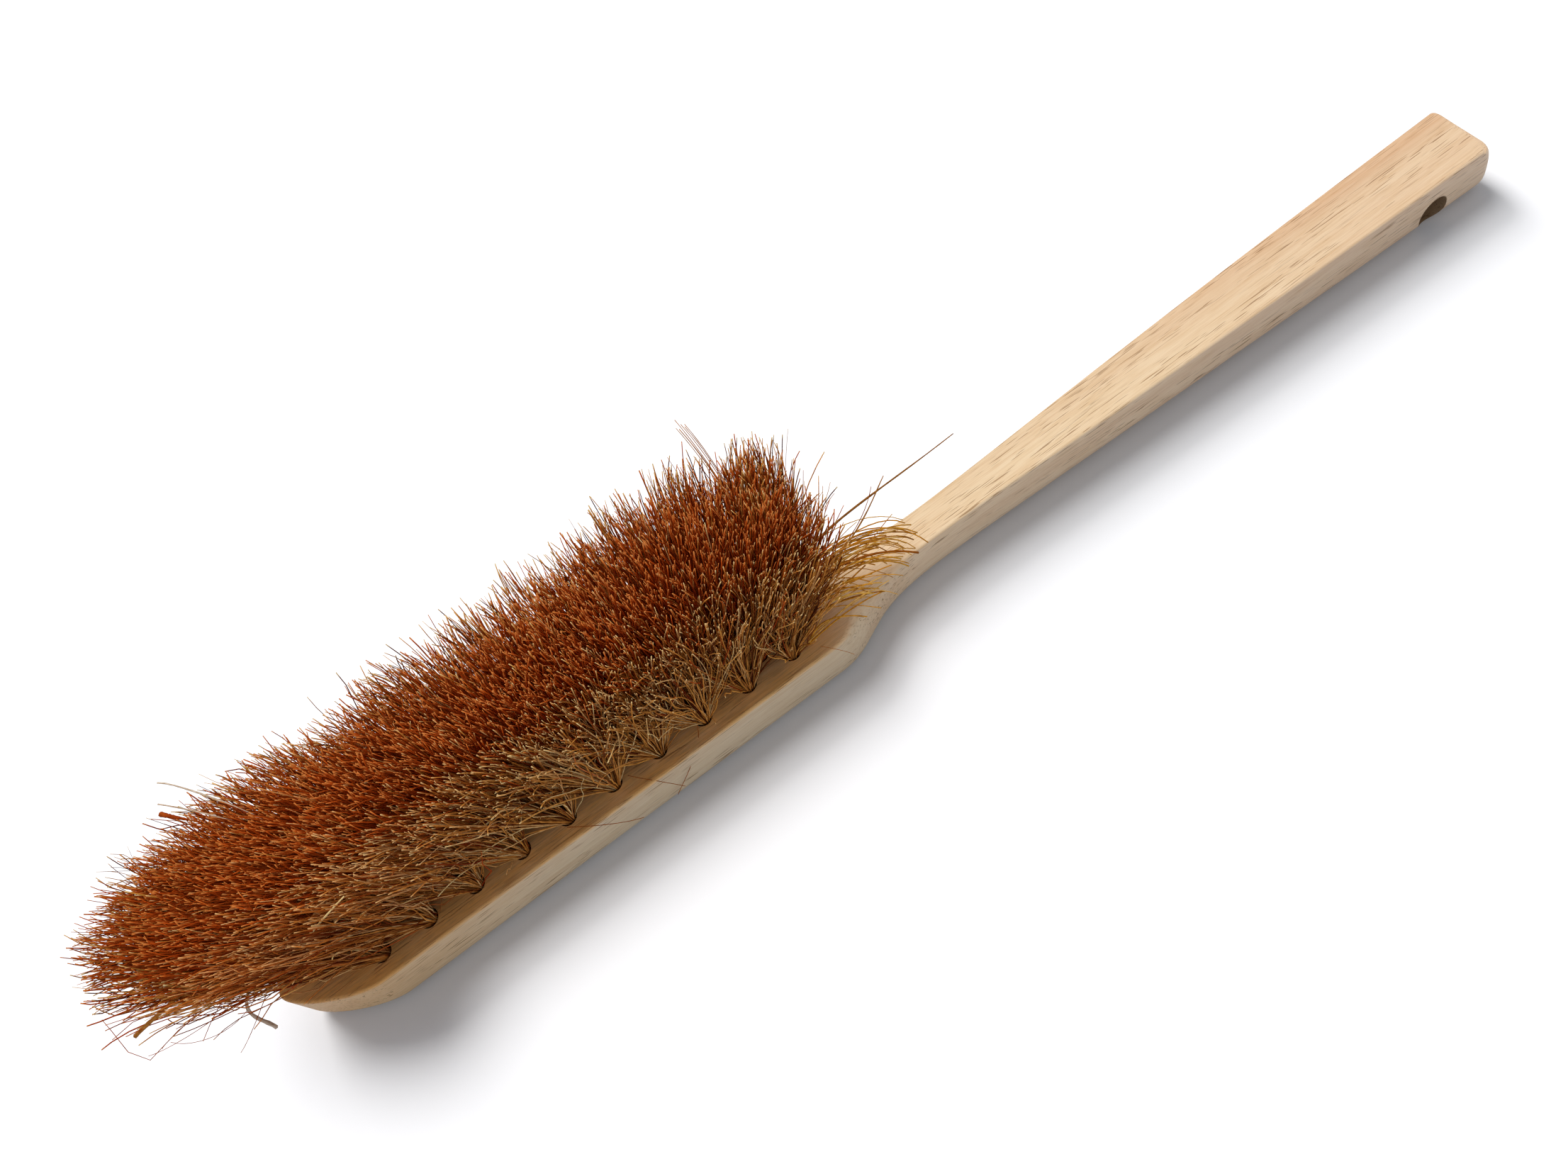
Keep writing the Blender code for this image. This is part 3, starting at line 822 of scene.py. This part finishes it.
def heel_strays():
    """Long thin fibres that stand off the brush's heel."""
    strays = [
        Stray(((97, 6, 21), (108, 7, 48), (128, 2, 50), (146, -3, 58), (164, -6, 64)),
              0.62, 0.14, 1.0, 0.26),
        Stray(((97, 0, 21), (108, -2, 40), (124, -6, 42), (134, -2, 54), (141, -1, 60)),
              0.44, 0.16, 1.0, 0.32),
        Stray(((97, 1, 21), (108, -1, 38), (123, -4, 42), (131, -3, 51), (137, 1, 56)),
              0.22, 0.10, 0.5, 0.3),
    ]
    for _ in range(CLUMP_STRAY_COUNT):
        x = 101 + chance.uniform(-1.5, 2.0)
        y = 44 + chance.uniform(-3.0, 1.0)
        knee = (x + 3, 29 + chance.uniform(-1.5, 1.5), 62)
        strays.append(Stray(((99, 15, 30), knee, (x, y, 83 + chance.uniform(-5, 1))),
                            chance.uniform(0.13, 0.20), 0.11, chance.uniform(0.8, 1.0),
                            chance.uniform(0.4, 0.8)))
    for _ in range(SHORT_STRAY_COUNT):
        y = chance.uniform(-6, 12)
        out = chance.uniform(10, 29)
        knee = (98 + out * 0.35, y, chance.uniform(38, 50))
        shin = (98 + out * 0.75, y + chance.uniform(-2, 3), chance.uniform(50, 58))
        tip = (98 + out, y + chance.uniform(-4, 6), chance.uniform(58, 80))
        strays.append(Stray(((94, y * 0.8, 21), knee, shin, tip), chance.uniform(0.12, 0.2), 0.08,
                            chance.uniform(0.1, 0.7), chance.random()))
    return strays


def nose_strays():
    """A thick end and fine hairs under the nose, and a flake at its far side."""
    return [
        Stray(((-90, 3, 56), (-103, -4, 60), (-112, -7, 64), (-121, -6, 60)), 0.42, 0.66, 0.8, 0.30),
        Stray(((-80, 0, 45), (-95, -10, 46), (-114, -8, 44), (-131, -4, 44)), 0.12, 0.08, 0.3, 0.4),
        Stray(((-90, 0, 50), (-105, -7, 51), (-118, -4, 46), (-132, 0, 36)), 0.12, 0.08, 0.3, 0.4),
        Stray(((-90, 0, 40), (-104, -12, 34), (-120, -5, 31), (-130, 2, 33)), 0.10, 0.08, 0.3, 0.4),
        Stray(((-92, 0, 34), (-102, -8, 32), (-110, -11, 28), (-115, -10, 24)), 0.12, 0.08, 0.3, 0.4),
        Stray(((-79, 33, 75), (-82, 35.5, 78), (-84, 37.5, 79)), 0.35, 0.85, 0.15, 0.35),
    ]


def pale_straws():
    """Two bleached fibres at the far side of the nose, and a bleached curl under it."""
    return [
        Stray(((-88, -2, 45), (-98, -6, 43), (-107, -6, 37), (-103, -7, 28), (-104, -8.5, 21)),
              0.36, 0.68, 1.0, 0.32),
        Stray(((-60, 18, 66), (-66, 30, 78), (-79, 44, 84)), 0.32, 0.24, 1.0, 0.9),
        Stray(((-60, 14, 62), (-68, 26, 76), (-83, 40, 80)), 0.28, 0.22, 1.0, 0.6),
    ]


def near_straws():
    """Straighter, brighter fibres on the near side of the outer row's tufts."""
    strays = [
        Stray(((-22, -9, 44), (-13, -18, 60), (-2, -17.5, 62)), 0.28, 0.24, 1.0, 0.95),
        Stray(((2, -9, 30), (8, -16, 54), (14, -18.5, 60), (22, -19.5, 62)), 0.30, 0.26, 1.0, 0.8),
        Stray(((-68, -12, 58), (-57, -20.5, 75), (-47, -19, 76)), 0.28, 0.22, 1.0, 0.9),
        Stray(((30, -10, 30), (36, -15, 60), (51, -16, 66)), 0.28, 0.22, 1.0, 0.8),
    ]
    near_row = [(along - ORIGIN_AT, y) for row, _, along, y in tuft_places() if row == 1]
    face = THICKNESS * MM_PER_METRE
    for x, y in np.repeat(near_row, STRAWS_PER_TUFT, axis=0) * MM_PER_METRE:
        aside = chance.uniform(-22, 17)
        out = chance.uniform(3, 12)
        rise = chance.uniform(30, 50)
        knee = (x + 0.25 * aside, y - 0.30 * out, face + 0.45 * rise)
        shin = (x + 0.60 * aside + chance.uniform(-5, 5), y - 0.8 * out,
                face + 0.80 * rise + chance.uniform(-2, 5))
        tip = (x + aside, y - out, face + rise + chance.uniform(-8, 3))
        root = (x + chance.uniform(-2.4, 2.4), y + chance.uniform(-1.5, 1.5), face)
        strays.append(Stray((root, knee, shin, tip), chance.uniform(0.14, 0.20),
                            chance.uniform(0.15, 0.22), 1.0, chance.uniform(0.66, 0.96)))
    return strays


def side_hairs():
    """Thin fibres that have slipped down over the near edge of the block."""
    return [
        Stray(((50, -8, 30), (57, -12, 24), (50, -17, 19), (38, -19, 12), (34, -18.6, 6)),
              0.13, 0.10, 0.5, 0.3),
        Stray(((26, -12, 24), (30, -16, 22), (35, -20, 19), (38, -21.2, 13)), 0.13, 0.10, 0.6, 0.3),
        Stray(((2, -14, 24), (8, -18, 23), (16, -21, 17), (21.7, -20.4, 11)), 0.13, 0.10, 0.5, 0.3),
        Stray(((98, -15, 23), (101, -18, 22), (104, -20, 19), (105.4, -20.8, 16)), 0.09, 0.07, 0.6, 0.5),
    ]


# Materials

class Nodes:
    """Short helper for building a material's node tree."""

    def __init__(self, name):
        self.material = bpy.data.materials.new(name)
        self.material.use_nodes = True
        self.tree = self.material.node_tree
        self.shader = self.tree.nodes["Principled BSDF"]

    def add(self, kind, settings=None, **inputs):
        node = self.tree.nodes.new(kind)
        for key, value in (settings or {}).items():
            setattr(node, key, value)
        for key, value in inputs.items():
            self.feed(node, key.replace("_", " "), value)
        return node

    def feed(self, node, key, value):
        socket = node.inputs[int(key)] if key.isdigit() else node.inputs[key]
        if isinstance(value, bpy.types.NodeSocket):
            self.tree.links.new(value, socket)
        else:
            socket.default_value = value

    def math(self, operation, a, b=0.0, clamp=False):
        node = self.add("ShaderNodeMath", {"operation": operation, "use_clamp": clamp})
        self.feed(node, "0", a)
        self.feed(node, "1", b)
        return node.outputs[0]

    def mix(self, share, a, b, blend="MIX"):
        node = self.add("ShaderNodeMix", {"data_type": "RGBA", "blend_type": blend})
        for key, value in (("0", share), ("6", a), ("7", b)):
            self.feed(node, key, value)
        return node.outputs[2]

    def tinted(self, share, base, tint):
        return self.mix(share, base, self.mix(1.0, base, (*tint, 1), "MULTIPLY"))

    def ramp(self, share, stops):
        node = self.add("ShaderNodeValToRGB")
        self.feed(node, "0", share)
        elements = node.color_ramp.elements
        while len(elements) < len(stops):
            elements.new(0.5)
        for element, (at, colour) in zip(elements, stops):
            element.position = at
            element.color = (*colour, 1)
        return node.outputs[0]

    def span(self, value, low, high):
        node = self.add("ShaderNodeMapRange", {"clamp": True}, Value=value)
        self.feed(node, "From Min", low)
        self.feed(node, "From Max", high)
        return node.outputs[0]

    def stretched_noise(self, scale, detail, roughness=0.5, distortion=0.0, shift=0.0):
        where = self.add("ShaderNodeTexCoord").outputs["Object"]
        mapped = self.add("ShaderNodeMapping", Vector=where)
        mapped.inputs["Scale"].default_value = scale
        mapped.inputs["Location"].default_value = (shift, shift * 1.7, -shift)
        node = self.add("ShaderNodeTexNoise", Vector=mapped.outputs[0], Scale=1.0, Detail=detail,
                        Roughness=roughness, Distortion=distortion)
        return node.outputs["Fac"]


def grey(value):
    """A neutral colour."""
    return (value, value, value, 1.0)


WOOD_PALE = (0.95, 0.75, 0.490)
WOOD_MIDDLE = (0.92, 0.70, 0.450)
WOOD_DARK = (0.86, 0.62, 0.385)
PORE_BROWN = (0.36, 0.20, 0.09)
CLOUD_TINT = (0.94, 0.90, 0.84)
STREAK_TINT = (0.88, 0.81, 0.73)
# Real staining on the block face together with painted warm light bounced from the red bristles; its red
# above 1 brightens the face
STAIN_AND_BOUNCE_TINT = (1.07, 0.82, 0.45)
GRIME_TINT = (0.74, 0.74, 0.76)
# Painted shade: the nose end of the block darkened
NOSE_SHADE_TINT = (0.845, 0.71, 0.535)
# Painted shade on the block's sides, under the overhanging bristles
BLOCK_SHADE_TINT = (0.85, 0.87, 0.86)
HANDLE_TINT = (0.965, 0.925, 0.94)
HANDLE_EDGE_TINT = (0.94, 0.85, 0.79)
# Painted shade inside the hanging hole
HOLE_SHADE_TINT = (0.40, 0.36, 0.30)

# Where each fades in, from its first to its second place, in metres
TO_FACE = (0.0195, 0.0207)
TO_STAIN_AND_BOUNCE = (0.112, 0.094)
TO_NOSE = (0.00, -0.09)
TO_BLOCK_SHADE = (0.140, 0.105)
TO_HANDLE = (0.16, 0.34)
TO_HANDLE_EDGE = (0.003, 0.0075)
TO_HOLE_SHADE = (HANG_HOLE_DIAMETER / 2 + 0.0003, HANG_HOLE_DIAMETER / 2 + 0.0001)


def wood_material():
    """Pale, close-grained wood with soft bands, short dark pores and a stained block face, with painted
    warm bounce light on that face and painted shade at the nose end, on the block's sides and in the
    hanging hole.
    """
    n = Nodes("pale_wood")
    place = n.add("ShaderNodeSeparateXYZ", Vector=n.add("ShaderNodeTexCoord").outputs["Object"])
    along, across, up = place.outputs
    broad = n.stretched_noise((4.0, 110.0, 90.0), 2.0, shift=3.1)
    base = n.ramp(broad, [(0.30, WOOD_PALE), (0.52, WOOD_MIDDLE), (0.74, WOOD_DARK)])
    cloud = n.stretched_noise((70.0, 500.0, 420.0), 3.0, 0.6, 0.5, shift=2.2)
    base = n.tinted(n.span(cloud, 0.42, 0.72), base, CLOUD_TINT)
    streak = n.stretched_noise((22.0, 1700.0, 1400.0), 4.0, 0.8, 0.2, shift=1.3)
    base = n.tinted(n.span(streak, 0.44, 0.68), base, STREAK_TINT)
    pore_field = n.stretched_noise((90.0, 2400.0, 2000.0), 1.0, 0.5, shift=7.7)
    patch = n.stretched_noise((12.0, 240.0, 200.0), 1.0, shift=5.2)
    pores = n.math("MULTIPLY", n.span(pore_field, 0.61, 0.66), n.span(patch, 0.34, 0.56))
    base = n.mix(n.math("MULTIPLY", pores, 0.80), base, (*PORE_BROWN, 1))
    # Stained block face: real staining together with painted warm bounce light from the bristles
    stain_and_bounce = n.math("MULTIPLY", n.span(up, *TO_FACE), n.span(along, *TO_STAIN_AND_BOUNCE))
    blotch = n.stretched_noise((60.0, 260.0, 260.0), 4.0)
    blotch = n.math("ADD", n.math("MULTIPLY", blotch, 1.1), 0.36)
    base = n.tinted(n.math("MULTIPLY", stain_and_bounce, blotch, clamp=True), base, STAIN_AND_BOUNCE_TINT)
    dirt = n.stretched_noise((120.0, 1500.0, 1500.0), 3.0, 0.7)
    base = n.tinted(n.math("MULTIPLY", stain_and_bounce, n.span(dirt, 0.46, 0.70)), base, GRIME_TINT)
    # Painted shade darkening the nose end of the block
    base = n.tinted(n.span(along, *TO_NOSE), base, NOSE_SHADE_TINT)
    # Painted shade on the block below its face, where the overhanging bristles shade it
    block_shade = n.math("MULTIPLY", n.span(along, *TO_BLOCK_SHADE), n.span(along, *reversed(TO_NOSE)))
    block_shade = n.math("MULTIPLY", block_shade, n.span(up, *reversed(TO_FACE)))
    base = n.tinted(block_shade, base, BLOCK_SHADE_TINT)
    handle = n.span(along, *TO_HANDLE)
    side = n.math("SUBTRACT", across, n.math("MULTIPLY", broad, 0.004))
    edge = n.math("MULTIPLY", handle, n.span(side, *TO_HANDLE_EDGE), clamp=True)
    base = n.tinted(edge, base, HANDLE_EDGE_TINT)
    base = n.tinted(handle, base, HANDLE_TINT)
    # Painted shade on the hanging hole's wall
    offset = n.add("ShaderNodeCombineXYZ")
    n.feed(offset, "X", n.math("SUBTRACT", along, STOCK_LENGTH - HANG_HOLE_FROM_END - ORIGIN_AT))
    n.feed(offset, "Z", n.math("SUBTRACT", up, HANG_HOLE_HEIGHT))
    from_axis = n.add("ShaderNodeVectorMath", {"operation": "LENGTH"})
    n.feed(from_axis, "0", offset.outputs[0])
    base = n.tinted(n.span(from_axis.outputs["Value"], *TO_HOLE_SHADE), base, HOLE_SHADE_TINT)
    n.feed(n.shader, "Base Color", base)
    n.feed(n.shader, "Roughness", n.math("ADD", n.math("MULTIPLY", streak, 0.16), 0.50))
    n.shader.inputs["Specular IOR Level"].default_value = 0.30
    bump = n.add("ShaderNodeBump", Strength=0.25, Distance=0.0002)
    n.feed(bump, "Height", n.math("SUBTRACT", n.math("MULTIPLY", streak, 0.5), pores))
    n.feed(n.shader, "Normal", bump.outputs[0])
    return n.material


# Reds, and sets of dark, middle and light fibres and cut ends: straw, gold and bleached
RED_DARK = (0.14, 0.006, 0.001)
RED_MIDDLE = (0.49, 0.044, 0.001)
RED_LIGHT = (0.72, 0.132, 0.009)
RED_WORN = (0.76, 0.20, 0.026)
RED_TIP = (0.82, 0.29, 0.065)
TANS = ((0.12, 0.028, 0.004), (0.81, 0.37, 0.070), (1.0, 0.81, 0.39), (1.0, 0.77, 0.37))
GOLDS = ((0.30, 0.10, 0.008), (0.82, 0.40, 0.040), (0.98, 0.64, 0.15), (0.95, 0.64, 0.20))
PALES = ((0.52, 0.36, 0.24), (0.76, 0.58, 0.42), (0.90, 0.76, 0.60), (0.95, 0.82, 0.66))
FLECK_TINT = (0.62, 0.52, 0.42)


def coir_material(name, tans):
    """Coir: each fibre has its own shade between red and a tan, and its cut end is paler."""
    n = Nodes(name)
    dark, middle, light, end = tans
    tone = n.add("ShaderNodeAttribute", {"attribute_name": "tone"}).outputs["Fac"]
    along = n.add("ShaderNodeAttribute", {"attribute_name": "along"}).outputs["Fac"]
    tan = n.add("ShaderNodeAttribute", {"attribute_name": "tan"}).outputs["Fac"]
    red = n.ramp(tone, [(0.0, RED_DARK), (0.40, RED_MIDDLE), (0.70, RED_MIDDLE), (1.0, RED_LIGHT)])
    red = n.mix(n.math("MULTIPLY", n.span(along, 0.60, 1.0), 0.30), red, (*RED_WORN, 1))
    straw = n.ramp(tone, [(0.12, dark), (0.46, middle), (0.62, middle), (1.0, light)])
    base = n.mix(tan, red, straw)
    fleck = n.stretched_noise((900.0, 900.0, 250.0), 1.0)
    base = n.tinted(n.span(fleck, 0.35, 0.75), base, FLECK_TINT)
    tip = n.mix(tan, (*RED_TIP, 1), (*end, 1))
    base = n.mix(n.math("MULTIPLY", n.span(along, 0.975, 0.995), 0.7), base, tip)
    n.feed(n.shader, "Base Color", base)
    n.shader.inputs["Roughness"].default_value = 0.8
    n.shader.inputs["Specular IOR Level"].default_value = 0.03
    return n.material


# Light, floor and camera

SKY_COLOUR = (0.93, 0.97, 1.05)
SKY_STRENGTH = 0.36
KEY_COLOUR = (0.97, 0.945, 0.905)
KEY_STRENGTH = 2.03
KEY_ANGLE = math.radians(28)
KEY_FROM = (0.08, 0.22, 0.97)
FLOOR_SUN_COLOUR = (1.13, 1.106, 1.09)
LOW_SUN_STRENGTH = 2.55
LOW_SUN_ANGLE = math.radians(32)
LOW_SUN_FROM = (-0.16, 0.77, 0.616)
HIGH_SUN_STRENGTH = 1.82
HIGH_SUN_ANGLE = math.radians(33)
HIGH_SUN_FROM = (-0.20, 0.458, 0.866)
FLOOR_SIZE = 20.0
FLOOR_GAP = 0.0003
FLOOR_WHITE = (0.750, 0.760, 0.775)
FLOOR_BOUNCE = (0.54, 0.57, 0.665)
FLOOR_LIFT = 0.038
CAMERA_AT = (0.06666, -0.19064, 0.35310)
CAMERA_RIGHT = (0.8053296, -0.53958688, -0.24554068)
CAMERA_UP = (0.58632633, 0.66379618, 0.46432322)
CAMERA_LENS = 27.37
CAMERA_SENSOR = 36.0


def light_world():
    """Even sky that shows as white to the camera and in reflections."""
    world = bpy.data.worlds.new("soft_sky")
    bpy.context.scene.world = world
    world.use_nodes = True
    tree = world.node_tree
    sky = tree.nodes["Background"]
    sky.inputs["Color"].default_value = (*SKY_COLOUR, 1)
    sky.inputs["Strength"].default_value = SKY_STRENGTH
    white = tree.nodes.new("ShaderNodeBackground")
    white.inputs["Color"].default_value = grey(1.0)
    white.inputs["Strength"].default_value = 1.0
    path = tree.nodes.new("ShaderNodeLightPath")
    seen = tree.nodes.new("ShaderNodeMath")
    seen.operation = "MAXIMUM"
    mix = tree.nodes.new("ShaderNodeMixShader")
    for source, target in ((path.outputs["Is Camera Ray"], seen.inputs[0]),
                           (path.outputs["Is Glossy Ray"], seen.inputs[1]),
                           (seen.outputs[0], mix.inputs[0]), (sky.outputs[0], mix.inputs[1]),
                           (white.outputs[0], mix.inputs[2]),
                           (mix.outputs[0], tree.nodes["World Output"].inputs[0])):
        tree.links.new(source, target)


def add_sun(name, strength, colour, angle, source):
    """A soft sun that shines from a direction."""
    lamp = bpy.data.lights.new(name, "SUN")
    lamp.energy = strength
    lamp.angle = angle
    lamp.color = colour
    sun = bpy.data.objects.new(name, lamp)
    sun.rotation_euler = Vector(source).to_track_quat("Z", "Y").to_euler()
    bpy.context.scene.collection.objects.link(sun)
    return sun


def add_floor():
    """White floor, a little brighter to the camera than as a source of bounced light."""
    bm = bmesh.new()
    bmesh.ops.create_grid(bm, x_segments=1, y_segments=1, size=FLOOR_SIZE / 2)
    bmesh.ops.translate(bm, verts=bm.verts, vec=(0, 0, -FLOOR_GAP))
    material = bpy.data.materials.new("white_floor")
    material.use_nodes = True
    tree = material.node_tree
    shader = tree.nodes["Principled BSDF"]
    shader.inputs["Roughness"].default_value = 0.9
    shader.inputs["Specular IOR Level"].default_value = 0.0
    path = tree.nodes.new("ShaderNodeLightPath")
    paint = tree.nodes.new("ShaderNodeMix")
    paint.data_type = "RGBA"
    paint.inputs[6].default_value = (*FLOOR_BOUNCE, 1)
    paint.inputs[7].default_value = (*FLOOR_WHITE, 1)
    tree.links.new(path.outputs["Is Camera Ray"], paint.inputs[0])
    tree.links.new(paint.outputs[2], shader.inputs["Base Color"])
    shader.inputs["Emission Color"].default_value = grey(1.0)
    lift = tree.nodes.new("ShaderNodeMath")
    lift.operation = "MULTIPLY"
    lift.inputs[1].default_value = FLOOR_LIFT
    tree.links.new(path.outputs["Is Camera Ray"], lift.inputs[0])
    tree.links.new(lift.outputs[0], shader.inputs["Emission Strength"])
    floor = new_object("floor", mesh_from("floor", bm), material)
    return floor


def collect(name, pieces):
    """A collection of pieces for light linking."""
    made = bpy.data.collections.new(name)
    for piece in pieces:
        made.objects.link(piece)
    return made


def share_light(key, floor, low_sun, high_sun, stock, nose_tufts):
    """Let the key light all but the floor, whose own two suns cast only some shadows."""
    all_but_floor = collect("all_but_floor", [floor])
    all_but_floor.collection_objects[0].light_linking.link_state = "EXCLUDE"
    key.light_linking.receiver_collection = all_but_floor
    only_floor = collect("only_floor", [floor])
    for sun, casting in ((low_sun, [stock]), (high_sun, [stock, *nose_tufts])):
        sun.light_linking.receiver_collection = only_floor
        sun.light_linking.blocker_collection = collect(f"{sun.name}_casters", casting)


def add_camera():
    """Camera where the photograph was taken from."""
    data = bpy.data.cameras.new("camera")
    data.sensor_width = CAMERA_SENSOR
    data.lens = CAMERA_LENS
    camera = bpy.data.objects.new("camera", data)
    right, up = Vector(CAMERA_RIGHT), Vector(CAMERA_UP)
    turn = Matrix((right, up, right.cross(up))).transposed().to_4x4()
    camera.matrix_world = Matrix.Translation(CAMERA_AT) @ turn
    bpy.context.scene.collection.objects.link(camera)
    bpy.context.scene.camera = camera


bpy.context.scene.view_settings.view_transform = "Standard"
light_world()
add_camera()
stock = build_stock(wood_material())
coir = coir_material("coir", TANS)
nose_tufts = []
for row, number, along, y in tuft_places():
    tuft = tuft_fibres(row, number, along, y, coir)
    if number == 1:
        nose_tufts.append(tuft)
key = add_sun("key", KEY_STRENGTH, KEY_COLOUR, KEY_ANGLE, KEY_FROM)
floor = add_floor()
low_sun = add_sun("low_sun", LOW_SUN_STRENGTH, FLOOR_SUN_COLOUR, LOW_SUN_ANGLE, LOW_SUN_FROM)
high_sun = add_sun("high_sun", HIGH_SUN_STRENGTH, FLOOR_SUN_COLOUR, HIGH_SUN_ANGLE, HIGH_SUN_FROM)
share_light(key, floor, low_sun, high_sun, stock, nose_tufts)
stray_piece("splayed_fibres", splayed_fibres(), coir_material("golden_coir", GOLDS))
stray_piece("heel_strays", heel_strays(), coir)
stray_piece("nose_strays", nose_strays(), coir)
stray_piece("pale_straws", pale_straws(), coir_material("bleached_coir", PALES))
stray_piece("near_straws", near_straws(), coir)
stray_piece("side_hairs", side_hairs(), coir)
